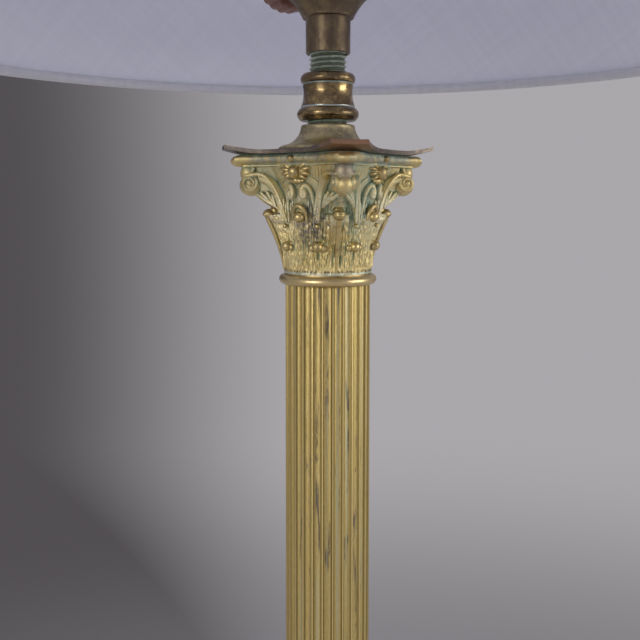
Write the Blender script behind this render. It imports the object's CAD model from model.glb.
import math

import bmesh
import bpy
from mathutils import Matrix, Vector, noise


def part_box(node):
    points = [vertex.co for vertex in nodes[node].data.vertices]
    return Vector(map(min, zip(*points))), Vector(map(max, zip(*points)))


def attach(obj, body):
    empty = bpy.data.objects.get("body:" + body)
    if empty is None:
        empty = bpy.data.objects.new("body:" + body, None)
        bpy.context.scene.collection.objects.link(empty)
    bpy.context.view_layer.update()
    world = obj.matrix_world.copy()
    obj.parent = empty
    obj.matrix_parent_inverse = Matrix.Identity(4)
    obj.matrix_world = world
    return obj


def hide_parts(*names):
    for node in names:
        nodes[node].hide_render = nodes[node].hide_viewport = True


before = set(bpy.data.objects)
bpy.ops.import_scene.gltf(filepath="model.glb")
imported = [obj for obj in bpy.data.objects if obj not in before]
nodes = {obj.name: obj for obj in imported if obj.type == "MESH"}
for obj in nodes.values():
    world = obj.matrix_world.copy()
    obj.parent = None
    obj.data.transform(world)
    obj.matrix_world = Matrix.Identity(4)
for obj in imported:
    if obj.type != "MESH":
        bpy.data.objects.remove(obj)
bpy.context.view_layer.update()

# Pieces are shaped in millimetres and finished in metres. Shaders and the stage are in metres.
MM = 0.001
CORNERS = (45, 135, 225, 315)
FLUTES = 26
TUBE_BORE = 12.35
THREAD_PITCH = 1.59

EYE = (0.1610, -0.23465, 0.3538)
CAMERA_TURN, CAMERA_DIP = 35, 8.29
CAMERA_LEFT, CAMERA_AHEAD = (-0.824, -0.566, 0), (-0.566, 0.824, 0)
HAZE = (0.402, 0.388, 0.408)
DIM_WALL = (0.085, 0.078, 0.085)


def level(node, top=False):
    """Height of the foot or the top of a CAD node, in millimetres."""
    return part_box(node)[1 if top else 0].z / MM


def add_object(name, data):
    """A new object in the scene."""
    item = bpy.data.objects.new(name, data)
    bpy.context.scene.collection.objects.link(item)
    return item


# ---- shader nodes

def feed(tree, socket, value):
    """Link a socket to a node's output, or set it to a constant. A colour gets its alpha here."""
    if isinstance(value, bpy.types.NodeSocket):
        tree.links.new(value, socket)
    else:
        socket.default_value = (*value, 1) if socket.type == "RGBA" else value


def put(tree, kind, inputs=None, **settings):
    """A new node with its settings made and its inputs fed."""
    node = tree.nodes.new(kind)
    for name, value in settings.items():
        setattr(node, name, value)
    for name, value in (inputs or {}).items():
        feed(tree, node.inputs[name], value)
    return node


def number(tree, operation, *values, clamp=False):
    """One step of arithmetic on constants or outputs."""
    inputs = dict(enumerate(values))
    return put(tree, "ShaderNodeMath", inputs, operation=operation, use_clamp=clamp).outputs[0]


def times(tree, first, second, clamp=False):
    return number(tree, "MULTIPLY", first, second, clamp=clamp)


def plus(tree, first, second, clamp=False):
    return number(tree, "ADD", first, second, clamp=clamp)


def minus(tree, first, second, clamp=False):
    return number(tree, "SUBTRACT", first, second, clamp=clamp)


def weighed(tree, first, share, second, other):
    """The sum of two outputs, each times its own weight."""
    return plus(tree, times(tree, first, share), times(tree, second, other))


def vector_math(tree, operation, *values, **named):
    """The outputs of one step of arithmetic on vectors."""
    inputs = {**dict(enumerate(values)), **named}
    return put(tree, "ShaderNodeVectorMath", inputs, operation=operation).outputs


def parts_of(tree, vector):
    return put(tree, "ShaderNodeSeparateXYZ", {0: vector}).outputs


def heading_of(tree, point):
    """Angle round the column's axis, in radians."""
    parts = parts_of(tree, point)
    return number(tree, "ARCTAN2", parts[1], parts[0])


def ramp(tree, value, low, high, start=0.0, end=1.0):
    """Smooth step of a value between two levels."""
    return put(tree, "ShaderNodeMapRange", {
        "Value": value, "From Min": low, "From Max": high, "To Min": start, "To Max": end,
    }, interpolation_type="SMOOTHSTEP").outputs[0]


def mixed(tree, share, first, second):
    """Two colours mixed by a share."""
    return put(tree, "ShaderNodeMix", {0: share, 6: first, 7: second}, data_type="RGBA").outputs[2]


def layered(tree, colour, layers):
    """A colour with others laid over it, from rows of (mask, strength, colour)."""
    for mask, strength, paint in layers:
        colour = mixed(tree, times(tree, mask, strength), colour, paint)
    return colour


def noise_at(tree, vector, scale, detail=4.0, roughness=0.55, distortion=0.0):
    return put(tree, "ShaderNodeTexNoise", {
        "Vector": vector, "Scale": scale, "Detail": detail, "Roughness": roughness,
        "Distortion": distortion,
    }).outputs[0]


def occlusion(tree, distance, inside=False):
    """How open a point is: low in hollows, or low near edges where it looks inside."""
    return put(tree, "ShaderNodeAmbientOcclusion", {"Distance": distance}, samples=8,
               inside=inside).outputs["AO"]


def object_point(tree):
    return put(tree, "ShaderNodeTexCoord").outputs["Object"]


def stretched(tree, vector, x, y, z):
    return put(tree, "ShaderNodeMapping", {"Vector": vector, "Scale": (x, y, z)}).outputs[0]


def blank_tree(owner):
    """The emptied node tree of a material or a world."""
    owner.use_nodes = True
    owner.node_tree.nodes.clear()
    return owner.node_tree


def new_group(name, inputs, outputs):
    """A node group with sockets from kinds and labels, and what its inside reads and writes."""
    group = bpy.data.node_groups.new(name, "ShaderNodeTree")
    for side, sockets in (("INPUT", inputs), ("OUTPUT", outputs)):
        for kind, labels in sockets.items():
            for label in labels.split():
                group.interface.new_socket(label, in_out=side, socket_type="NodeSocket" + kind)
    return group, put(group, "NodeGroupInput").outputs, put(group, "NodeGroupOutput").inputs


def use_group(tree, group, values):
    """The outputs of a node that stands for a group."""
    return put(tree, "ShaderNodeGroup", values, node_tree=group).outputs


# ---- camera, floor and light

camera = add_object("camera", bpy.data.cameras.new("camera"))
camera.data.lens = 45.92
camera.data.sensor_width = 36
camera.data.clip_start = 0.01
camera.location = EYE
camera.rotation_euler = (math.radians(90 - CAMERA_DIP), 0, math.radians(CAMERA_TURN))
bpy.context.scene.camera = camera
bpy.context.scene.view_settings.view_transform = "Standard"


def seen_backdrop(tree, direction):
    """The wall colour seen in a direction: dimmer to the camera's left, and towards the floor."""
    left = vector_math(tree, "DOT_PRODUCT", direction, CAMERA_LEFT)["Value"]
    ahead = vector_math(tree, "DOT_PRODUCT", direction, CAMERA_AHEAD)["Value"]
    dim = times(tree, ramp(tree, left, -0.01, 0.37), ramp(tree, ahead, 0.2, 0.7))
    low = ramp(tree, parts_of(tree, direction)[2], -0.27, -0.56, 0.0, 0.74)
    return mixed(tree, plus(tree, dim, low, clamp=True), HAZE, DIM_WALL)


def make_stage():
    """A floor that catches shadow near the lamp and fades to the backdrop, in a soft even room."""
    bm = bmesh.new()
    bmesh.ops.create_circle(bm, cap_ends=True, segments=96, radius=40)
    mesh = bpy.data.meshes.new("floor")
    bm.to_mesh(mesh)
    bm.free()
    floor = add_object("floor", mesh)
    paint = bpy.data.materials.new("floor_paint")
    tree = blank_tree(paint)
    point = object_point(tree)
    away = vector_math(tree, "SUBTRACT", point, EYE)[0]
    tone = seen_backdrop(tree, vector_math(tree, "NORMALIZE", away)[0])
    lit = put(tree, "ShaderNodeBsdfDiffuse", {"Color": HAZE}).outputs[0]
    plain = put(tree, "ShaderNodeEmission", {"Color": tone, "Strength": 1}).outputs[0]
    seen = put(tree, "ShaderNodeLightPath").outputs["Is Camera Ray"]
    far = vector_math(tree, "LENGTH", point)["Value"]
    share = times(tree, seen, ramp(tree, far, 0.1, 0.6, 0.75, 1.0))
    surface = put(tree, "ShaderNodeMixShader", {0: share, 1: lit, 2: plain}).outputs[0]
    put(tree, "ShaderNodeOutputMaterial", {"Surface": surface})
    mesh.materials.append(paint)

    world = bpy.data.worlds.new("studio")
    bpy.context.scene.world = world
    tree = blank_tree(world)
    path = put(tree, "ShaderNodeLightPath").outputs
    seen = number(tree, "MAXIMUM", path["Is Camera Ray"], path["Is Transmission Ray"])
    seen = number(tree, "MAXIMUM", seen, path["Is Glossy Ray"])
    tone = seen_backdrop(tree, put(tree, "ShaderNodeTexCoord").outputs["Generated"])
    backdrop = put(tree, "ShaderNodeBackground", {"Color": tone, "Strength": 1}).outputs[0]
    soft = put(tree, "ShaderNodeBackground", {"Color": (0.97, 0.98, 1.05), "Strength": 0.64}).outputs[0]
    both = put(tree, "ShaderNodeMixShader", {0: seen, 1: soft, 2: backdrop}).outputs[0]
    put(tree, "ShaderNodeOutputWorld", {"Surface": both})


def softbox(name, heading, distance, height, width, tall, power, colour=(1, 1, 1)):
    """An area lamp facing the column from a heading measured from the camera, right being plus."""
    lamp = bpy.data.lights.new(name, "AREA")
    lamp.shape = "RECTANGLE"
    lamp.size = width
    lamp.size_y = tall
    lamp.energy = power
    lamp.color = colour
    spot = add_object(name, lamp)
    spot.location = at(distance, heading + CAMERA_TURN - 90, height)
    aim = Vector((0, 0, 0.33)) - spot.location
    spot.rotation_euler = aim.to_track_quat("-Z", "Y").to_euler()


def at(distance, degrees, height):
    """A point at a distance from the column's axis, in a heading, at a height."""
    turn = math.radians(degrees)
    return Vector((distance * math.cos(turn), distance * math.sin(turn), height))


make_stage()
softbox("window_left", -35, 1.9, 0.92, 0.85, 1.5, 19, (1, 0.985, 0.97))
softbox("window_right", 74, 1.9, 0.92, 1.25, 1.5, 22, (1, 0.99, 0.98))
softbox("fill_top", 160, 2.2, 2.1, 1.6, 1.2, 14)


# ---- shared effects

def make_aged_metal():
    """Metal that wears bright on its edges, dark in its hollows, with a green bloom."""
    tree, given, out = new_group("aged_metal", {
        "Color": "Bright Dark Green",
        "Float": "Darkness Greenness Hollows Size Upright Reach Roughness",
    }, {"Color": "Color", "Float": "Roughness Height"})
    squeeze = put(tree, "ShaderNodeCombineXYZ", {0: 1.0, 1: 1.0, 2: given["Upright"]}).outputs[0]
    point = vector_math(tree, "MULTIPLY", object_point(tree), squeeze)[0]
    sized = vector_math(tree, "SCALE", point, Scale=given["Size"])[0]
    broad = noise_at(tree, sized, 70, 5, 0.6, 0.4)
    middle = noise_at(tree, sized, 420, 6, 0.65, 0.6)
    fine = noise_at(tree, sized, 2300, 5, 0.7)
    hollow = ramp(tree, occlusion(tree, given["Reach"]), 0.95, 0.35)
    edge = ramp(tree, occlusion(tree, times(tree, given["Reach"], 0.45), inside=True), 0.8, 0.3)
    spots = weighed(tree, broad, 0.45, middle, 0.55)
    limit = minus(tree, 0.68, times(tree, given["Darkness"], 0.36))
    dark = ramp(tree, spots, minus(tree, limit, 0.1), plus(tree, limit, 0.06))
    dark = weighed(tree, dark, 0.75, hollow, given["Hollows"])
    dark = minus(tree, dark, times(tree, edge, 0.55), clamp=True)
    speck = ramp(tree, fine, 0.35, 0.7)
    bloom = plus(tree, weighed(tree, hollow, 0.55, broad, 0.75), times(tree, middle, 0.3))
    start = minus(tree, 1.3, given["Greenness"])
    bloom = ramp(tree, bloom, start, plus(tree, start, 0.28))
    bloom = minus(tree, bloom, times(tree, edge, 0.5), clamp=True)
    colour = mixed(tree, dark, given["Bright"], given["Dark"])
    colour = mixed(tree, times(tree, speck, 0.28), colour, given["Dark"])
    rough = plus(tree, given["Roughness"], weighed(tree, dark, 0.16, bloom, 0.3))
    tree.links.new(mixed(tree, bloom, colour, given["Green"]), out["Color"])
    tree.links.new(plus(tree, rough, times(tree, speck, 0.06), clamp=True), out["Roughness"])
    tree.links.new(weighed(tree, fine, 0.35, middle, 0.65), out["Height"])
    return tree


def make_patch():
    """A ragged stain round a point of the piece."""
    tree, given, out = new_group("patch", {"Vector": "Centre", "Float": "Radius Ragged"}, {"Float": "Mask"})
    point = object_point(tree)
    away = vector_math(tree, "DISTANCE", point, given["Centre"])["Value"]
    share = number(tree, "DIVIDE", away, given["Radius"])
    rough = minus(tree, noise_at(tree, point, 330, 6, 0.65, 0.5), 0.5)
    rough = times(tree, rough, times(tree, given["Ragged"], 5))
    tree.links.new(ramp(tree, plus(tree, share, rough), 1.15, 0.45), out["Mask"])
    return tree


def make_weave():
    """Plain weave on a piece's own map, whose unit is a metre."""
    tree, given, out = new_group("weave", {"Float": "Threads"}, {"Float": "Height Slub"})
    own = put(tree, "ShaderNodeUVMap", uv_map="UVMap").outputs[0]
    over, under = [number(tree, "PINGPONG", times(tree, part, given["Threads"]), 0.5)
                   for part in parts_of(tree, own)[:2]]
    loose_across = noise_at(tree, stretched(tree, own, 300, 12, 1), 1, 4, 0.6)
    loose_along = noise_at(tree, stretched(tree, own, 12, 300, 1), 1, 4, 0.6)
    tree.links.new(plus(tree, over, under), out["Height"])
    tree.links.new(weighed(tree, loose_across, 0.5, loose_along, 0.5), out["Slub"])
    return tree


aged_metal = make_aged_metal()
patch = make_patch()
weave = make_weave()


# ---- materials

finish = {}


def new_material(name, **constants):
    """A finish of that name, as its tree and the inputs of its Principled shader."""
    finish[name] = bpy.data.materials.new(name)
    tree = blank_tree(finish[name])
    even = {label.replace("_", " "): value for label, value in constants.items()}
    shader = put(tree, "ShaderNodeBsdfPrincipled", even)
    put(tree, "ShaderNodeOutputMaterial", {"Surface": shader.outputs[0]})
    return tree, shader.inputs


def bumped(tree, shader, height, strength, distance):
    bump = put(tree, "ShaderNodeBump", {"Height": height, "Strength": strength, "Distance": distance})
    tree.links.new(bump.outputs[0], shader["Normal"])


def aged(name, bright, dark, green=(0.42, 0.56, 0.43), darkness=0.4, greenness=0.2, hollows=0.8,
         size=1.0, upright=1.0, reach=0.0015, rough=0.42, bump=0.25):
    """A worn metal. Size and upright scale its stains, reach is how far from an edge it wears."""
    tree, shader = new_material(name, Metallic=1.0)
    made = use_group(tree, aged_metal, {
        "Bright": bright, "Dark": dark, "Green": green, "Darkness": darkness, "Greenness": greenness,
        "Hollows": hollows, "Size": size, "Upright": upright, "Reach": reach, "Roughness": rough,
    })
    tree.links.new(made["Color"], shader["Base Color"])
    tree.links.new(made["Roughness"], shader["Roughness"])
    bumped(tree, shader, made["Height"], bump, 0.0004)
    return tree, shader, made


def speckled(name, base, second, scale, rough, spread=0.1, bump=0.15, distance=0.0003, contrast=0.5,
             **constants):
    """Plain finishes: moulded plastic, plated steel, cast iron, board, glaze and glass."""
    tree, shader = new_material(name, **constants)
    point = object_point(tree)
    grain = noise_at(tree, point, scale, 6, 0.6)
    blotch = noise_at(tree, point, scale * 0.12, 4, 0.5)
    share = ramp(tree, weighed(tree, grain, 0.6, blotch, 0.4), 0.5 - contrast / 2, 0.5 + contrast / 2)
    tree.links.new(mixed(tree, share, base, second), shader["Base Color"])
    tree.links.new(ramp(tree, grain, 0.2, 0.8, rough - spread / 2, rough + spread / 2), shader["Roughness"])
    bumped(tree, shader, grain, bump, distance)


def woven(name, thread, slub, threads=1300.0, bump=0.3):
    """Fine woven cloth: a thread colour and the colour of its thicker threads."""
    tree, shader = new_material(name, Roughness=0.85, Sheen_Weight=0.15)
    made = use_group(tree, weave, {"Threads": threads})
    tree.links.new(mixed(tree, ramp(tree, made["Slub"], 0.35, 0.65), thread, slub), shader["Base Color"])
    bumped(tree, shader, made["Height"], bump, 0.0002)


def make_column_finish():
    """Worn yellow brass with dark and pale streaks that run up the flutes."""
    tree, shader, made = aged(
        "column_brass", (0.63, 0.485, 0.18), (0.26, 0.185, 0.075), darkness=0.1, greenness=0.16,
        hollows=0.3, upright=0.16, reach=0.0011, bump=0.35)
    point = object_point(tree)

    def streaks(upright, grain, levels):
        return ramp(tree, noise_at(tree, stretched(tree, point, 1, 1, upright), *grain), *levels)

    flute = times(tree, heading_of(tree, point), FLUTES / (2 * math.pi))
    across = number(tree, "PINGPONG", flute, 0.5)
    edge = times(tree, ramp(tree, across, 0.24, 0.37), ramp(tree, across, 0.45, 0.42))
    streak = times(tree, streaks(0.045, (560, 4, 0.6), (0.51, 0.6)), ramp(tree, across, 0.34, 0.2))
    streak = times(tree, streak, streaks(0.22, (210, 5, 0.7), (0.47, 0.57)))
    grime = mixed(tree, noise_at(tree, point, 150, 3), (0.06, 0.075, 0.07), (0.16, 0.1, 0.09))
    dust = times(tree, ramp(tree, across, 0.2, 0.06), streaks(0.03, (300, 5, 0.65), (0.47, 0.6)))
    colour = layered(tree, made["Color"], (
        (streak, 0.85, grime),
        (streaks(0.05, (700, 4, 0.6), (0.52, 0.68)), 0.42, (0.56, 0.43, 0.24)),
        (streaks(0.1, (1100, 5, 0.6), (0.56, 0.75)), 0.35, (0.82, 0.7, 0.37)),
        (edge, 0.6, (0.2, 0.14, 0.045)),
        (ramp(tree, across, 0.43, 0.46), 0.45, (0.85, 0.7, 0.34)),
        (dust, 0.5, (0.6, 0.64, 0.45)),
    ))
    tree.links.new(colour, shader["Base Color"])


def make_capital_finish():
    """Gilt on the high parts, verdigris and a dark violet bloom between them."""
    tree, shader, made = aged(
        "verdigris_brass", (0.77, 0.62, 0.28), (0.3, 0.235, 0.12), (0.5, 0.6, 0.44),
        darkness=0.22, greenness=0.46, hollows=0.24, size=1.4, reach=0.0013, bump=0.6)
    point = object_point(tree)
    height = parts_of(tree, point)[2]

    def flecks(grain, levels):
        return ramp(tree, noise_at(tree, point, *grain), *levels)

    def stain(centre, radius, ragged=0.5):
        return use_group(tree, patch, {"Centre": centre, "Radius": radius, "Ragged": ragged})["Mask"]

    green = 0.0
    for centre, radius, strength in (
            ((0.0195, -0.006, 0.3575), 0.0155, 0.95), ((0.012, 0.013, 0.352), 0.012, 0.6),
            ((0.0235, 0.001, 0.3675), 0.015, 1.0), ((0.008, -0.019, 0.3545), 0.0095, 0.55),
            ((0.0235, -0.012, 0.3675), 0.0115, 0.95), ((0.002, -0.022, 0.3655), 0.0085, 0.6),
            ((-0.012, -0.0165, 0.3625), 0.0105, 0.6), ((-0.004, -0.02, 0.358), 0.0085, 0.5),
            ((0.0, 0.0, 0.3700), 0.026, 0.3), ((-0.02, 0.012, 0.36), 0.015, 0.6),
            ((0.02, 0.0, 0.345), 0.01, 0.45), ((-0.0165, -0.0165, 0.3585), 0.008, 0.4)):
        green = number(tree, "MAXIMUM", green, times(tree, stain(centre, radius), strength))
    hollow = ramp(tree, occlusion(tree, 0.0024), 1.0, 0.6, 0.3, 1.0)
    green = times(tree, green, hollow, clamp=True)
    thin = times(tree, ramp(tree, hollow, 0.35, 1.0), 0.3)
    green = number(tree, "MAXIMUM", green, times(tree, thin, flecks((620, 5, 0.65), (0.42, 0.6))))
    verdigris = mixed(tree, noise_at(tree, point, 500, 4), (0.42, 0.56, 0.45), (0.76, 0.81, 0.68))
    leaves = times(tree, ramp(tree, height, 0.342, 0.349), ramp(tree, height, 0.3575, 0.3545))
    plan = vector_math(tree, "LENGTH", stretched(tree, point, 1, 1, 0))["Value"]
    slab = times(tree, ramp(tree, height, 0.3652, 0.366), ramp(tree, plan, 0.0295, 0.0265))
    grime = mixed(tree, noise_at(tree, point, 260, 4), (0.1, 0.095, 0.08), (0.62, 0.68, 0.6))
    dusk = times(tree, stain((0.0045, -0.0165, 0.3452), 0.0066, 0.8),
                 flecks((900, 4), (0.35, 0.62, 0.15, 0.8)))
    joint = times(tree, ramp(tree, height, 0.3303, 0.3298), flecks((700, 4), (0.3, 0.6, 0.45, 0.95)))
    ring = times(tree, ramp(tree, height, 0.3314, 0.3305), minus(tree, 1.0, joint))
    pits = ramp(tree, noise_at(tree, stretched(tree, point, 1, 1, 0.4), 1300, 3), 0.46, 0.55)
    colour = layered(tree, made["Color"], (
        (times(tree, leaves, flecks((1250, 5, 0.6), (0.46, 0.58))), 0.8, (0.86, 0.82, 0.62)),
        (green, 1, verdigris),
        (times(tree, slab, flecks((430, 6, 0.7, 0.5), (0.42, 0.54))), 0.72, grime),
        (dusk, 1, (0.15, 0.14, 0.17)),
        (stain((0.0205, -0.0205, 0.3645), 0.0046, 0.3), 0.7, (0.27, 0.24, 0.23)),
        (joint, 1, (0.66, 0.74, 0.62)),
        (times(tree, ring, pits), 0.8, (0.05, 0.055, 0.05)),
    ))
    tree.links.new(colour, shader["Base Color"])
    dull = plus(tree, made["Roughness"], times(tree, green, 0.4), clamp=True)
    tree.links.new(dull, shader["Roughness"])


def make_thread_finish():
    """Screw thread gone dark in its grooves, with pale verdigris rubbed on the crests."""
    tree, shader = new_material("thread_mint", Metallic=0.3, Roughness=0.5)
    point = object_point(tree)
    turn = number(tree, "DIVIDE", heading_of(tree, point), 2 * math.pi)
    phase = minus(tree, number(tree, "DIVIDE", parts_of(tree, point)[2], THREAD_PITCH * MM), turn)
    phase = plus(tree, phase, times(tree, noise_at(tree, point, 500, 4), 0.25))
    crest = ramp(tree, number(tree, "PINGPONG", phase, 0.5), 0.28, 0.42)
    worn = ramp(tree, noise_at(tree, point, 420, 5, 0.6), 0.32, 0.62, 0.5, 1.0)
    mint = mixed(tree, noise_at(tree, point, 900, 4), (0.42, 0.56, 0.46), (0.66, 0.74, 0.6))
    groove = mixed(tree, noise_at(tree, point, 600, 4), (0.06, 0.055, 0.035), (0.2, 0.24, 0.15))
    tree.links.new(mixed(tree, times(tree, crest, worn), groove, mint), shader["Base Color"])


def make_coupling_finish():
    """Lacquered brass gone brown in patches, with white-green dirt in the two grooves."""
    tree, shader, made = aged(
        "polished_brass", (0.56, 0.4, 0.17), (0.085, 0.06, 0.045), (0.72, 0.74, 0.6), darkness=0.66,
        greenness=0.05, upright=1.6, size=0.8, reach=0.0007, rough=0.16, bump=0.06)
    height = parts_of(tree, object_point(tree))[2]
    dirt = []
    for groove in (4.5, 12.1):
        away = number(tree, "ABSOLUTE", minus(tree, height, (level("coupling") + groove) * MM))
        dirt.append((ramp(tree, away, 0.00034, 0.00014), 0.85, (0.6, 0.68, 0.6)))
    tree.links.new(layered(tree, made["Color"], dirt), shader["Base Color"])


def make_plate_finish():
    """Dull sheet brass with one corner rubbed to a warm copper."""
    tree, shader, made = aged(
        "copper_brass", (0.25, 0.2, 0.155), (0.13, 0.115, 0.105), (0.4, 0.5, 0.42), darkness=0.5,
        greenness=0.38, reach=0.001, rough=0.36, bump=0.2)
    warm = use_group(tree, patch, {"Centre": (0.0262, -0.0262, 0.371), "Radius": 0.0125, "Ragged": 0.4})
    tree.links.new(mixed(tree, warm["Mask"], made["Color"], (0.36, 0.215, 0.135)), shader["Base Color"])


make_column_finish()
make_capital_finish()
make_plate_finish()
make_coupling_finish()
make_thread_finish()
aged("base_brass", (0.6, 0.46, 0.18), (0.33, 0.24, 0.1), darkness=0.12, greenness=0.1, size=0.3,
     upright=1.8, reach=0.005, rough=0.33, bump=0.06)
aged("ring_brass", (0.68, 0.53, 0.26), (0.36, 0.27, 0.14), darkness=0.2, greenness=0.08, upright=2.5,
     reach=0.0008, rough=0.3, bump=0.12)
aged("olive_brass", (0.6, 0.5, 0.26), (0.24, 0.205, 0.15), (0.5, 0.6, 0.4), darkness=0.45,
     greenness=0.48, upright=1.6, reach=0.0022, rough=0.4, bump=0.15)
aged("rubbed_brass", (0.66, 0.52, 0.23), (0.27, 0.2, 0.1), (0.5, 0.62, 0.47), darkness=0.3,
     greenness=0.42, hollows=0.7, size=1.3, reach=0.0012, rough=0.34, bump=0.2)
aged("tarnished_brass", (0.27, 0.2, 0.11), (0.115, 0.085, 0.065), darkness=0.5, greenness=0.05,
     size=0.7, upright=0.5, reach=0.001, rough=0.33, bump=0.15)
aged("thread_brass", (0.5, 0.42, 0.24), (0.22, 0.2, 0.13), (0.5, 0.62, 0.5), darkness=0.5,
     greenness=0.5, reach=0.0009, rough=0.45, bump=0.3)
woven("shade_fabric", (0.72, 0.7, 0.67), (0.82, 0.8, 0.77))
woven("shade_lining", (0.8, 0.81, 0.91), (0.84, 0.85, 0.95), 2600.0, 0.1)
woven("shade_tape", (0.6, 0.6, 0.64), (0.68, 0.68, 0.71), 1700.0, 0.4)
speckled("felt", (0.05, 0.13, 0.07), (0.1, 0.2, 0.11), 2200, 0.95, 0.05, 0.8, 0.0008, Sheen_Weight=0.4)
speckled("millboard", (0.27, 0.2, 0.13), (0.38, 0.3, 0.21), 900, 0.85, 0.1, 0.4)
speckled("zinc_steel", (0.5, 0.51, 0.53), (0.66, 0.67, 0.67), 600, 0.35, 0.2, 0.1, Metallic=1.0)
speckled("spring_steel", (0.5, 0.5, 0.5), (0.7, 0.7, 0.7), 1500, 0.3, 0.1, 0.1, Metallic=1.0)
speckled("cast_iron", (0.06, 0.06, 0.06), (0.13, 0.125, 0.12), 500, 0.6, 0.2, 0.7, 0.0008, Metallic=0.6)
speckled("black_plastic", (0.018, 0.018, 0.018), (0.035, 0.034, 0.033), 1200, 0.5, 0.15, 0.2)
speckled("porcelain", (0.78, 0.77, 0.73), (0.86, 0.85, 0.81), 200, 0.12, 0.06, 0.03, Coat_Weight=0.4)
speckled("brown_plastic", (0.17, 0.075, 0.05), (0.27, 0.125, 0.085), 260, 0.42, 0.12, 0.06, contrast=0.35)
speckled("bulb_aluminium", (0.66, 0.66, 0.64), (0.8, 0.8, 0.78), 700, 0.32, 0.1, 0.08, Metallic=1.0)
speckled("black_glass", (0.02, 0.02, 0.028), (0.04, 0.04, 0.05), 500, 0.1, 0.05, 0.03)
speckled("bulb_glass", (0.97, 0.98, 0.97), (0.99, 0.99, 0.99), 30, 0.03, 0.02, 0.02,
         Transmission_Weight=1.0, IOR=1.45)
speckled("clear_glass", (0.9, 0.93, 0.92), (0.95, 0.96, 0.96), 150, 0.05, 0.03, 0.05,
         Transmission_Weight=1.0, IOR=1.5)
speckled("filament", (0.22, 0.22, 0.23), (0.34, 0.33, 0.32), 3000, 0.4, 0.1, 0.1, Metallic=1.0)
speckled("shade_wire", (0.78, 0.78, 0.77), (0.86, 0.86, 0.84), 900, 0.4, 0.1, 0.15)


# ---- shaping tools

def piece(name, body, slot, bm, replaces=(), paint=None, sharp=38, turn_out=True):
    """Finish a mesh made in millimetres: merged, facing out, painted, and riding on its body."""
    bmesh.ops.remove_doubles(bm, verts=bm.verts, dist=0.0005)
    if turn_out:
        bmesh.ops.recalc_face_normals(bm, faces=bm.faces)
    bm.transform(Matrix.Scale(MM, 4))
    mesh = bpy.data.meshes.new(name)
    bm.to_mesh(mesh)
    bm.free()
    mesh.shade_smooth()
    mesh.set_sharp_from_angle(angle=math.radians(sharp))
    mesh.materials.append(finish[paint or slot])
    item = add_object(name, mesh)
    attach(item, body)
    if replaces:
        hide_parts(*replaces)
    return item


def bend(start, end, bulge, steps):
    """Points of an arc from start to end, pushed out by bulge to the right of the way along."""
    (r0, z0), (r1, z1) = start, end
    chord = math.hypot(r1 - r0, z1 - z0)
    radius = (chord * chord / 4 + bulge * bulge) / (2 * bulge)
    side_r, side_z = (z1 - z0) / chord, -(r1 - r0) / chord
    middle_r = (r0 + r1) / 2 + side_r * (bulge - radius)
    middle_z = (z0 + z1) / 2 + side_z * (bulge - radius)
    first = math.atan2(z0 - middle_z, r0 - middle_r)
    sweep = math.atan2(z1 - middle_z, r1 - middle_r) - first
    sweep = (sweep + math.pi) % (2 * math.pi) - math.pi
    if abs(bulge) > chord / 2:
        sweep -= math.copysign(2 * math.pi, sweep)
    size = abs(radius)
    return [(middle_r + size * math.cos(first + sweep * k / steps),
             middle_z + size * math.sin(first + sweep * k / steps)) for k in range(1, steps)]


def outline(points, lift=0.0, steps=8):
    """Profile corners as (radius, height) or (radius, height, bulge of the arc to the next)."""
    line = []
    for here, after in zip(points, points[1:] + points[:1]):
        line.append((here[0], here[1] + lift))
        if len(here) > 2:
            line += [(r, z + lift) for r, z in bend(here[:2], after[:2], here[2], steps)]
    return line


def revolve(line, steps):
    """A closed profile of (radius, height) points spun round the column's axis, a quarter at a time."""
    bm = bmesh.new()
    verts = [bm.verts.new((r, 0, z)) for r, z in line]
    edges = [bm.edges.new(pair) for pair in zip(verts, verts[1:] + verts[:1])]
    bmesh.ops.spin(bm, geom=verts + edges, cent=(0, 0, 0), axis=(0, 0, 1), angle=math.pi / 2,
                   steps=steps // 4)
    four_times(bm)
    bmesh.ops.remove_doubles(bm, verts=bm.verts, dist=0.0005)
    return bm


def rows(low, high, count):
    """Evenly spaced values from low to high, both included."""
    return [low + (high - low) * k / count for k in range(count + 1)]


def polar(point):
    """Distance from the column's axis, and heading in radians."""
    return math.hypot(point.x, point.y), math.atan2(point.y, point.x)


def ball(bm, centre, radial, tangential, upright, heading, lean, fine):
    """An ellipsoid whose radial axis points to a heading and leans up by some degrees."""
    place = (Matrix.Translation(centre) @ Matrix.Rotation(math.radians(heading), 4, "Z")
             @ Matrix.Rotation(-math.radians(lean), 4, "Y")
             @ Matrix.Diagonal((radial, tangential, upright, 1)))
    bmesh.ops.create_uvsphere(bm, u_segments=fine, v_segments=max(6, fine * 2 // 3), radius=1, matrix=place)


def strand(bm, points, radii):
    """A tapering tube along a smooth line, added to a mesh."""
    curve = bpy.data.curves.new("strand", "CURVE")
    curve.dimensions = "3D"
    curve.bevel_depth = 1
    curve.bevel_resolution = 3
    curve.use_fill_caps = True
    curve.resolution_u = 5
    spline = curve.splines.new("NURBS")
    spline.points.add(len(points) - 1)
    for place, point, radius in zip(spline.points, points, radii):
        place.co = (*point, 1)
        place.radius = radius
    spline.order_u = 4
    spline.use_endpoint_u = True
    holder = add_object("strand", curve)
    graph = bpy.context.evaluated_depsgraph_get()
    graph.update()
    mesh = bpy.data.meshes.new_from_object(holder.evaluated_get(graph))
    bm.from_mesh(mesh)
    bpy.data.objects.remove(holder)
    bpy.data.meshes.remove(mesh)


def four_times(bm):
    """Repeat a mesh made at one corner at the three others."""
    geom = bm.verts[:] + bm.edges[:] + bm.faces[:]
    bmesh.ops.spin(bm, geom=geom, cent=(0, 0, 0), axis=(0, 0, 1), angle=1.5 * math.pi, steps=3,
                   use_duplicate=True)


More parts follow.
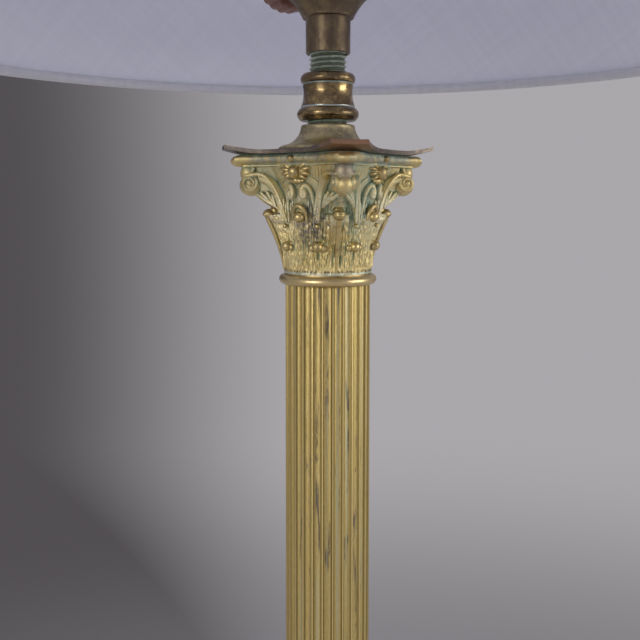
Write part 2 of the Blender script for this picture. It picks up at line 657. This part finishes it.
def between(table, where):
    """A value read off straight lines through the rows of a table of (place, value)."""
    if where <= table[0][0]:
        return table[0][1]
    for (x0, y0), (x1, y1) in zip(table, table[1:]):
        if where <= x1:
            return y0 + (y1 - y0) * (where - x0) / (x1 - x0)
    return table[-1][1]


# ---- column

def make_shaft():
    """Hollow flutes with narrow fillets between them, on a slightly tapered tube."""
    per_flute, foot_radius, top_radius, flute_depth = 14, 15.9, 14.75, 0.95
    foot, top = level("column_shaft"), level("column_shaft", True) + 0.9
    taper = (top_radius - foot_radius) / (top - foot)
    line = [(foot_radius + taper * (z - foot), z) for z in rows(foot, top, 48)]
    bm = revolve(line + [(TUBE_BORE, top), (TUBE_BORE, foot)], FLUTES * per_flute)
    half = 0.5 - 1 / per_flute
    for vert in bm.verts:
        radius, turn = polar(vert.co)
        if radius > 13:
            phase = (turn * FLUTES / (2 * math.pi) + 0.5) % 1 - 0.5
            share = min(1, abs(phase) / half)
            vert.co.xy *= (radius - flute_depth * math.sqrt(1 - share * share)) / radius
    piece("fluted_shaft", "lamp", "column_brass", bm, ["column_shaft"], sharp=50)


def turned(name, slot, node, profile, arc, around, sharp, paint=None, lift=0):
    """A piece of the lamp spun from an outline, which is measured from the foot of its CAD node."""
    bm = revolve(outline(profile, level(node) + lift, arc), around)
    piece(name, "lamp", slot, bm, [node], paint, sharp)


def make_ring():
    """The round bead under the capital, and the narrow step above it."""
    turned("ring_bead", "column_brass", "astragal_ring", [
        (TUBE_BORE, 0.9), (15.4, 0.9, 1.58), (15.4, 4.3), (14.95, 4.3), (14.95, 4.9), (TUBE_BORE, 4.9),
    ], 16, 120, 38, "ring_brass", lift=8)


def make_cone():
    """The hollow-sided cap between plate and coupling, with a rounded rim."""
    turned("cone_under_coupling", "olive_brass", "cap_cone", [
        (14.3, 0), (16.4, 0, 0.25), (16.9, 0.8, 0.2), (16.6, 1.7), (16.1, 2.0), (15.7, 2.2, -1.5),
        (9.2, 8.2, 0.12), (8.9, 9.0), (7.2, 9.0), (7.2, 7.2),
    ], 12, 120, 50)


def make_coupling():
    """Turned spacer: a bead at each end, each set off by a groove, and a hollow waist."""
    turned("turned_coupling", "polished_brass", "coupling", [
        (6.6, 0.1), (9.1, 0.1, 0.12), (9.75, 0.65, 0.72), (9.75, 3.9), (9.25, 4.2), (9.25, 4.7, 0.05),
        (9.1, 4.95, -0.5), (8.55, 11.8), (8.3, 11.95), (8.3, 12.25), (8.65, 12.4, 0.52),
        (8.85, 15.0), (8.3, 15.5), (6.5, 15.55),
    ], 14, 128, 60)


def make_thread(name, node, radius, core):
    """A tube whose outside is cut with a screw thread."""
    low, high = level(node), level(node, True)
    count = round((high - low) / THREAD_PITCH * 12)
    bm = revolve([(radius, z) for z in rows(low, high, count)] + [(core, high), (core, low)], 72)
    for vert in bm.verts:
        size, turn = polar(vert.co)
        if size > radius - 0.1:
            phase = (vert.co.z / THREAD_PITCH - turn / (2 * math.pi)) % 1
            depth = 0.8 * min(1, abs(2 * phase - 1) * 1.3)
            vert.co.xy *= (radius - depth) / size
    piece(name, "lamp", "thread_brass", bm, [node], "thread_mint", sharp=75)


def make_plate():
    """Thin sheet with hollow sides, flat in the middle, its four corners bent up."""
    foot, thick = level("abacus_plate"), 1.3
    hole, flat_to, bent_width, corner_rise = 7.2, 26.5, 9.6, 1.9
    outer = star(35.6, 11.7, 24.9, 0, 40)
    shares = [0.0, 0.25, 0.5, 0.62, 0.7, 0.78, 0.86, 0.94, 1.0]

    def ring(share, lift):
        found = []
        for point in outer:
            place = (point.normalized() * hole).lerp(point, share)
            rise = corner_rise * (max(0.0, place.length - flat_to) / bent_width) ** 1.35
            found.append(Vector((place.x, place.y, foot + lift + rise)))
        return found

    sections = [ring(share, 0.0) for share in shares] + [ring(1.002, 0.35), ring(1.002, 1.0)]
    bm = lofted(sections + [ring(share, thick) for share in reversed(shares)])
    piece("bent_plate", "lamp", "copper_brass", bm, ["abacus_plate"], sharp=50)


# ---- capital

# The leaves' outer lines are rows of (height above the capital's foot, radius).
FOOT = level("capital")
SIDE_TURN = 92.5  # heading of a flower, a little past the middle of its side
CORNER_LEAF = [(0, 15.3), (6, 15.75), (11, 16.8), (15, 18.4), (17.5, 19.9), (19.8, 21.6)]
SIDE_LEAF = [(0, 15.2), (6, 15.6), (11, 16.2), (15, 17.0), (18.2, 17.9), (20.4, 18.6)]
LOWER_LEAF = [(0, 15.25), (4, 15.6), (7, 16.0), (9.2, 16.5), (10.8, 16.6)]
CORNER_FLARE = [(18, 17.4), (23.7, 19.7), (26.1, 22.3), (27.5, 24.6), (31, 25.6), (36.5, 26.4)]


def bell_radius(height):
    """Radius of the plain bell under the carving."""
    return 14.7 + 0.05 * height + 4.9 * max(0.0, (height - 15) / 21.6) ** 2.3


def swell(across, half):
    """A soft mound, one in its middle and nothing beyond half its width."""
    share = min(1.0, abs(across) / half)
    return (1 - share * share) ** 1.4


def window(value, low, high, soft):
    """One between two heights, fading softly to nothing beyond them."""
    rise = min(1.0, max(0.0, (value - low) / soft))
    fall = min(1.0, max(0.0, (high - value) / soft))
    return rise * rise * (3 - 2 * rise) * fall * fall * (3 - 2 * fall)


def relief(angle, height):
    """Radius of the carved bell at an angle in degrees and a height above its foot."""
    bell = bell_radius(height)
    from_corner = angle % 90 - 45
    from_side = (angle + 45) % 90 - 45
    from_lower = angle % 45 - 22.5
    drift = noise.noise(at(2.6, angle, height * 0.16))
    patchy = noise.noise(at(6, angle, 7 + height * 0.13))
    scalloped = 1 + 0.07 * math.sin(height * 2.2)
    found = bell
    if height < 22:
        fade = window(height, -9, 20.8, 1.2)
        corner = (between(CORNER_LEAF, height) - bell) * swell(from_corner, (15 + 0.1 * height) * scalloped)
        side = (between(SIDE_LEAF, height) - bell) * swell(from_side, (16.5 - 0.25 * height) * scalloped)
        found = bell + max(corner, side) * fade
    if height < 12:
        lower = (between(LOWER_LEAF, height) - bell) * swell(from_lower, (17.5 - 0.75 * height) * scalloped)
        found = max(found, bell + lower * window(height, -9, 11.4, 0.9))
    if height > 17.5:
        flare = (between(CORNER_FLARE, height) - bell) * swell(from_corner, 9 + 0.45 * (height - 18))
        found = max(found, bell + flare * window(height, 17.5, 99, 4))
    wave = 30 * drift + 5 * math.sin(height * 0.9 + 5 * patchy)
    rib = math.cos(math.radians(angle * 108 + 11 * wave))
    fine = math.cos(math.radians(angle * 177 - 9 * wave))
    strength = (0.2 + 0.12 * patchy) * window(height, 0.4, 27, 3.0) * (1 - swell(from_corner, 7))
    found += strength * rib + 0.1 * fine * window(height, 0.4, 26, 3.0)
    found += 0.12 * math.cos(math.radians(angle * 116)) * window(height, 31.4, 36.2, 0.8)
    grain = noise.noise(at(15, angle, height * 0.42))
    found += 0.2 * grain * window(height, 0.6, 26, 2.0)
    pit = window(height, 4.4, 8.4, 1.4) * swell(from_lower, 2.0)
    vein = window(height, 1.0, 18.5, 3.0) * swell(abs(from_corner) - 4.6, 1.5)
    return found - 1.5 * pit - 0.6 * vein


def make_bell():
    """The carved bell: a plain tube of many points, each moved out to the relief."""
    top, bore = 36.6, 12.4
    bm = revolve([(20, h) for h in rows(0, top, 150)] + [(bore, top), (bore, 0)], 600)
    for vert in bm.verts:
        size, turn = polar(vert.co)
        if size > 15:
            vert.co.xy *= relief(math.degrees(turn), vert.co.z) / size
        vert.co.z += FOOT
    piece("capital_bell", "lamp", "verdigris_brass", bm, ["capital"], sharp=80)


def star(corner, width, side, height, steps=16):
    """Points round an abacus: four cut corners joined by hollow sides."""
    found = []
    for turn in CORNERS:
        right = at(corner, turn, height) + at(width / 2, turn + 90, 0)
        left = at(corner, turn + 90, height) - at(width / 2, turn + 180, 0)
        start = at(corner, turn, height) - at(width / 2, turn + 90, 0)
        found += [start.lerp(right, k / 6) for k in range(6)]
        middle = at(side, turn + 45, height)
        control = middle * 2 - (right + left) / 2
        control.z = height
        for k in range(steps):
            t = k / steps
            found.append(right * (1 - t) ** 2 + control * 2 * t * (1 - t) + left * t * t)
    return found


def lofted(sections):
    """Rings of equally many points, bridged one after another and back to the first."""
    bm = bmesh.new()
    rings = []
    for section in sections + sections[:1]:
        verts = [bm.verts.new(point) for point in section]
        rings.append([bm.edges.new((a, b)) for a, b in zip(verts, verts[1:] + verts[:1])])
    for lower, upper in zip(rings, rings[1:]):
        bmesh.ops.bridge_loops(bm, edges=lower + upper)
    return bm


def spot(radius, degrees, height):
    """A point of the capital, at a height above its foot."""
    return at(radius, degrees, FOOT + height)


def boss(bm, place, sizes, lean=0.0, fine=14):
    """A ball on the capital at (radius, heading, height), its first axis pointing outwards."""
    ball(bm, spot(*place), *sizes, place[1], lean, fine)


def ridge(bm, corner, line, side=1):
    """A strand on the capital from rows of (angle from a corner, radius, height, thickness)."""
    strand(bm, [spot(r, corner + side * a, h) for a, r, h, _ in line], [t for *_, t in line])


def carved(name, bm, paint=None, sharp=60):
    """A carved part of the capital, which is one casting."""
    piece(name, "lamp", "verdigris_brass", bm, ["capital"], paint, sharp=sharp, turn_out=False)


def make_abacus():
    """The moulded slab: a thin fillet, then a round lip, hollow sides and fat lobed corners."""
    profile = [(35.6, 9.0), (35.6, 3.7), (35.8, 3.2), (36.15, 3.2), (36.3, 3.5), (36.5, 3.3), (36.65, 2.4),
               (36.95, 1.35), (37.35, 0.75), (37.8, 0.45), (38.3, 0.4), (38.75, 0.6), (39.15, 1.0),
               (39.45, 1.7), (39.6, 2.6), (39.6, 9.0)]
    bm = lofted([star(32.6 - inset, 7.4 - inset * 0.4, 22.9 - inset * 0.8, FOOT + height, 24)
                 for height, inset in profile])
    for corner in CORNERS:
        boss(bm, (29.9, corner, 37.6), (3.35, 3.95, 1.95), fine=28)
    carved("capital_abacus", bm, sharp=50)


def make_volutes():
    """At each corner a pair of scrolls, with the bands that rise to them from the bell."""
    bm = bmesh.new()
    boss(bm, (26.3, 45, 29.6), (4.05, 3.5, 3.6), fine=32)
    boss(bm, (27.1, 45, 33.6), (2.9, 3.15, 3.9), fine=28)
    for side in (-1, 1):
        face = 45 + side * 84
        out = at(1, face, 0)
        along = at(1, face - side * 90, 0)
        centre = spot(26.9, 45, 30.3) + out * 2.5
        band = [
            (26.0, 17.0, 17.5, 0.4), (24.5, 17.8, 20.5, 0.6), (21.4, 18.7, 24.8, 0.72),
            (18.4, 20.1, 28.6, 0.78), (15.8, 21.9, 31.4, 0.78), (13.2, 23.4, 32.9, 0.75),
            (10.0, 25.0, 33.5, 0.75)]
        points = [spot(r, 45 + side * a, h) for a, r, h, _ in band]
        thick = [t for *_, t in band]
        for degrees in range(125, -420, -25):
            share = (125 - degrees) / 545
            radius = 2.75 * (1 - share) ** 0.7 + 0.9 * share
            turn = math.radians(degrees)
            lift = Vector((0, 0, radius * math.sin(turn)))
            points.append(centre - along * (radius * math.cos(turn)) + lift + out * (0.85 * share - 0.15))
            thick.append(0.86 - 0.33 * share)
        strand(bm, points, thick)
        inner = [(24.5, 17.6, 18.5), (21.4, 18.6, 23.6), (18.2, 19.9, 28.2), (15.6, 21.8, 31.0),
                 (13.0, 23.4, 32.6), (10.2, 25.0, 33.1)]
        for shift, drop, size in ((-3.4, 1.1, 0.62), (-1.7, 0.5, 0.5)):
            ridge(bm, 45, [(a + shift * (1 - 0.3 * k), r - 0.15, h - drop, size * (0.6 + 0.4 * min(1, k)))
                           for k, (a, r, h) in enumerate(inner)], side)
        ridge(bm, 45, [
            (24.0, 16.5, 18.0, 0.8), (20.0, 17.5, 24.0, 1.5), (16.0, 19.2, 28.8, 1.7),
            (13.6, 21.4, 31.2, 1.6), (10.5, 24.2, 31.9, 1.4)], side)
        rise = [centre + out * 0.2 - along * x + Vector((0, 0, z)) for x, z in (
            (-0.6, 2.3), (1.2, 3.3), (1.5, 4.6), (1.2, 5.9))]
        strand(bm, rise, [0.4, 0.55, 0.55, 0.7])
        ball(bm, centre + out * 0.7, 1.0, 1.25, 1.25, face, 0, 16)
        for a, r, h, size in (
                (2.0, 24.8, 26.9, 0.75), (6.0, 23.7, 27.3, 0.75), (10.0, 21.9, 27.6, 0.7),
                (13.0, 20.3, 26.6, 0.6)):
            ridge(bm, 45, [
                (15.0, 19.2, 22.4, 0.4), (a * 0.4 + 9.0, (r + 19.4) / 2, (h + 22.6) / 2 - 0.3, 0.65),
                (a * 0.8 + 2.0, r * 0.8 + 19.4 * 0.2, h - 0.7, size), (a, r, h, size * 0.6)], side)
    four_times(bm)
    carved("capital_volutes", bm)


def make_helices():
    """Two small bulging scrolls that meet under each flower, with fine tendrils over them."""
    bm = bmesh.new()
    for side in (-1, 1):
        ridge(bm, SIDE_TURN, [
            (18.5, 16.8, 17.5, 0.35), (17.6, 17.2, 21.0, 0.45), (16.6, 17.7, 24.5, 0.6),
            (15.0, 18.1, 27.0, 0.8), (12.4, 18.5, 29.0, 0.95), (8.6, 18.9, 29.7, 1.0), (5.4, 19.0, 28.4, 1.0),
            (5.0, 19.0, 26.4, 0.95), (7.4, 19.0, 25.2, 0.85), (9.8, 19.1, 26.2, 0.75), (9.2, 19.4, 27.6, 0.7),
        ], side)
        boss(bm, (18.8, SIDE_TURN + side * 7.8, 27.2), (1.1, 1.3, 1.45), fine=16)
        ridge(bm, SIDE_TURN, [
            (7.0, 19.2, 31.3, 0.3), (11.0, 19.1, 32.1, 0.4), (16.0, 19.1, 31.9, 0.4),
            (20.0, 19.0, 31.0, 0.35), (22.5, 19.0, 30.2, 0.25)], side)
        for a, r, h, tall in (
                (13.5, 17.1, 22.4, 1.9), (10.6, 17.1, 23.6, 1.5), (16.6, 17.3, 24.4, 1.7),
                (20.5, 17.5, 22.0, 2.2), (23.0, 17.8, 23.5, 1.9)):
            boss(bm, (r, SIDE_TURN + side * a, h), (0.45, 0.38, tall), fine=10)
    four_times(bm)
    carved("capital_helices", bm)


def make_flowers():
    """A flower on each hollow side: a round heart between ribbed petals, a bud above it."""
    bm = bmesh.new()
    boss(bm, (20.6, SIDE_TURN, 33.8), (2.1, 2.15, 2.15), fine=20)
    heart = spot(20.6, SIDE_TURN, 33.8)
    outward = at(1, SIDE_TURN, 0)
    for side in (-1, 1):
        aside = at(1, SIDE_TURN + side * 90, 0)
        for turn, length in ((-28, 3.6), (-8, 4.3), (12, 4.8), (32, 4.8), (52, 4.2)):
            lean = math.radians(turn)
            out = aside * math.cos(lean) + Vector((0, 0, math.sin(lean)))
            start = heart + out - outward * 0.9
            strand(bm, [
                start, start + out * length * 0.4 + outward, start + out * length * 0.8 + outward,
                start + out * length - outward * 0.1], [0.45, 0.66, 0.78, 0.45])
        ball(bm, heart + aside * 2.2 - outward * 1.3, 1.6, 2.8, 2.3, SIDE_TURN, 0, 16)
        for a, h, size in ((3.2, 30.9, 0.85), (6.8, 31.0, 0.6)):
            ball(bm, spot(19.4, SIDE_TURN + side * a, h), size, size * 1.5, size, SIDE_TURN, 0, 12)
    boss(bm, (19.3, SIDE_TURN, 31.0), (1.3, 1.5, 1.3))
    boss(bm, (22.6, SIDE_TURN, 38.0), (1.1, 1.3, 1.15), fine=16)
    four_times(bm)
    carved("capital_flowers", bm, "rubbed_brass")


def make_leaf_tips():
    """Curled tips, balls and pearls that stand off the leaves, and the corner leaves' midribs."""
    bm = bmesh.new()
    boss(bm, (20.1, 45, 19.9), (2.35, 2.15, 1.85), 14, 28)
    boss(bm, (18.3, 45, 21.2), (1.8, 1.85, 1.75), fine=18)
    boss(bm, (21.6, 45, 19.9), (1.0, 1.5, 0.8), -10, 18)
    ridge(bm, 45, [(0, 20.8, 18.6, 0.95), (0, 19.8, 16.6, 0.95), (0, 18.6, 13.8, 0.88), (0, 17.1, 10.0, 0.78),
                   (0, 15.85, 5.6, 0.6), (0, 15.2, 1.2, 0.4)])
    boss(bm, (17.9, SIDE_TURN, 19.2), (1.9, 2.0, 1.85), fine=24)
    ridge(bm, SIDE_TURN, [
        (-8.0, 17.2, 18.0, 0.5), (-8.6, 17.6, 20.2, 0.7), (-5.5, 18.2, 22.3, 0.85), (0.0, 18.5, 23.0, 0.9),
        (5.5, 18.2, 22.3, 0.85), (8.6, 17.6, 20.2, 0.7), (8.0, 17.2, 18.0, 0.5)])
    boss(bm, (17.0, SIDE_TURN, 21.0), (1.2, 2.4, 2.2), fine=18)
    for side in (-1, 1):
        turn = 45 + side * 22.5
        boss(bm, (16.5, turn, 9.4), (1.75, 1.8, 1.8), fine=24)
        for lobe in (-1, 1):
            ball(bm, spot(16.2, turn + lobe * 7.0, 9.0), 0.75, 1.1, 1.2, turn, 0, 14)
        boss(bm, (17.0, turn, 16.2), (0.8, 0.8, 0.8))
    four_times(bm)
    carved("capital_leaf_tips", bm, "rubbed_brass")


# ---- lampholder and switch knob

def make_holder_cap():
    """Collar that swells softly into the dome, and the round side above it."""
    turned("holder_cap_shell", "tarnished_brass", "holder_cap", [
        (6.45, 0.1), (7.2, 0.0, 0.05), (7.45, 0.35), (7.5, 11.0, -0.12), (7.95, 11.55, 0.3),
        (8.75, 12.0, -0.25), (12.65, 17.5, 0.35), (17.3, 22.6, 0.5), (18.0, 25.2), (18.0, 38.0),
        (17.0, 38.0), (17.0, 25.0), (11.6, 18.2), (7.9, 13.6), (6.45, 13.6),
    ], 10, 128, 45)


def make_knob():
    """A round moulded knob with shallow finger lobes, out along the switch's axis."""
    lobes, heading, root, axis_height = 22, 155, 23.3, 433.6
    bm = revolve(outline([
        (1.8, 0), (10.9, 0, 0.35), (12.0, 1.3, 0.25), (12.0, 7.7, 0.4), (10.6, 9.0), (8.4, 9.2), (7.9, 8.9),
        (3.0, 8.9), (0, 8.9), (0, 6.4), (1.8, 6.4)], 0, 8), lobes * 10)
    for vert in bm.verts:
        size, turn = polar(vert.co)
        if size > 9.5:
            phase = (turn * lobes / (2 * math.pi)) % 1
            vert.co.xy *= 1 - 0.055 * (size - 9.5) / 2.5 * (2 * phase - 1) ** 2
    bm.transform(Matrix.Rotation(math.radians(heading), 4, "Z") @ Matrix.Translation((root, 0, axis_height))
                 @ Matrix.Rotation(math.radians(90), 4, "Y"))
    piece("lobed_knob", "switch", "brown_plastic", bm, ["switch_knob"], sharp=40)


# ---- shade

def map_round(bm, place):
    """Give a spun mesh a map from each corner's turn, which runs on across the seam, and its height."""
    own = bm.loops.layers.uv.new("UVMap")
    for face in bm.faces:
        seam = polar(face.calc_center_median())[1]
        for loop in face.loops:
            turn = polar(loop.vert.co)[1]
            turn += 2 * math.pi * round((seam - turn) / (2 * math.pi))
            loop[own].uv = place(turn, loop.vert.co.z)


def make_shade():
    """Cloth cover with a smooth lining, and tape folded round both wire rings."""
    low, high = level("shade_cover"), level("shade_cover", True)
    lower, upper, thick, steps = 203.0, 118.0, 1.0, 144
    tall = high - low
    slope = (lower - upper) / tall
    slant = math.hypot(tall, lower - upper)
    apex = slant * lower / (lower - upper)

    def wall(height, shift=0.0):
        return (lower + shift - slope * height, low + height)

    def unrolled(turn, height):
        span = apex - slant * (height - low) / tall
        fan = turn * lower / apex
        return (span * math.cos(fan) * MM, span * math.sin(fan) * MM)

    bm = revolve([wall(h) for h in rows(0, tall, 12)] + [wall(h, -thick) for h in rows(tall, 0, 12)], steps)
    bmesh.ops.recalc_face_normals(bm, faces=bm.faces)
    for face in bm.faces:
        middle = face.calc_center_median()
        inside = face.normal.x * middle.x + face.normal.y * middle.y < 0 and abs(face.normal.z) < 0.9
        face.material_index = 1 if inside else 0
    map_round(bm, unrolled)
    cover = piece("shade_cloth", "shade", "shade_fabric", bm, ["shade_cover"], sharp=50)
    cover.data.materials.append(finish["shade_lining"])

    bm = revolve([
        wall(8.0, 0.2), wall(0.1, 0.35), (lower - 0.5, low - 0.3), (lower - 3.6, low - 0.35),
        (lower - 4.9, low + 0.4), (lower - 5.3, low + 1.7), (lower - 5.0, low + 2.9),
        (lower - 4.0, low + 3.7), wall(4.2, -1.3), wall(4.3, -0.5)], steps)
    top = revolve([
        wall(tall - 8.0, 0.2), wall(tall - 8.0, -0.5), wall(tall - 5.0, -1.25), (upper - 3.4, high - 4.1),
        (upper - 4.3, high - 3.0), (upper - 4.5, high - 1.7), (upper - 4.1, high - 0.3),
        (upper - 3.0, high + 0.3), (upper - 0.4, high + 0.3), wall(tall - 0.1, 0.35)], steps)
    spare = bpy.data.meshes.new("spare")
    top.to_mesh(spare)
    top.free()
    bm.from_mesh(spare)
    bpy.data.meshes.remove(spare)
    map_round(bm, lambda turn, height: (turn * 0.16, height * MM))
    tape = piece("shade_tape", "shade", "shade_fabric", bm, [], "shade_tape", sharp=60)


make_shaft()
make_ring()
make_cone()
make_coupling()
make_thread("nipple_thread", "upper_nipple", 6.35, 3.4)
make_thread("bush_thread", "adaptor_bush", 7.08, 5.06)
make_plate()
make_holder_cap()
make_knob()
make_shade()
make_bell()
make_abacus()
make_volutes()
make_helices()
make_flowers()
make_leaf_tips()


# ---- finishes of the CAD nodes

SLOTS = {
    "felt": ["felt_pad"], "millboard": ["base_cover"],
    "base_brass": ["stepped_base", "plinth_block", "column_base"],
    "black_plastic": ["cord_bushing"], "cast_iron": ["base_weight"],
    "zinc_steel": ["tie_rod", "tie_washer", "tie_nut"],
    "column_brass": ["column_shaft", "astragal_ring"], "verdigris_brass": ["capital"],
    "copper_brass": ["abacus_plate"], "olive_brass": ["cap_cone"], "polished_brass": ["coupling"],
    "thread_brass": ["adaptor_bush", "upper_nipple", "terminal_1", "terminal_2", "terminal_screw_1",
                     "terminal_screw_2", "plunger_1", "plunger_2", "switch_blade", "switch_spindle"],
    "tarnished_brass": ["holder_cap", "holder_shell", "holder_sleeve", "switch_bush", "switch_nut"],
    "porcelain": ["insulator"], "spring_steel": ["plunger_spring_1", "plunger_spring_2"],
    "brown_plastic": ["switch_rotor", "switch_knob"], "bulb_aluminium": ["bulb_cap"],
    "black_glass": ["bulb_contact_disc"], "bulb_glass": ["bulb_glass"], "clear_glass": ["bulb_mount"],
    "filament": ["bulb_filament"], "shade_fabric": ["shade_cover"],
    "shade_wire": ["carrier_foot", "shade_ring", "carrier_arm_1", "carrier_arm_2", "carrier_arm_3",
                   "carrier_arm_4", "carrier_gallery", "shade_lower_ring", "shade_upper_ring",
                   "shade_fitter", "shade_arm_1", "shade_arm_2", "shade_arm_3"],
}
for slot_name, members in SLOTS.items():
    for member in members:
        mesh = nodes[member].data
        mesh.materials.clear()
        mesh.materials.append(finish[slot_name])
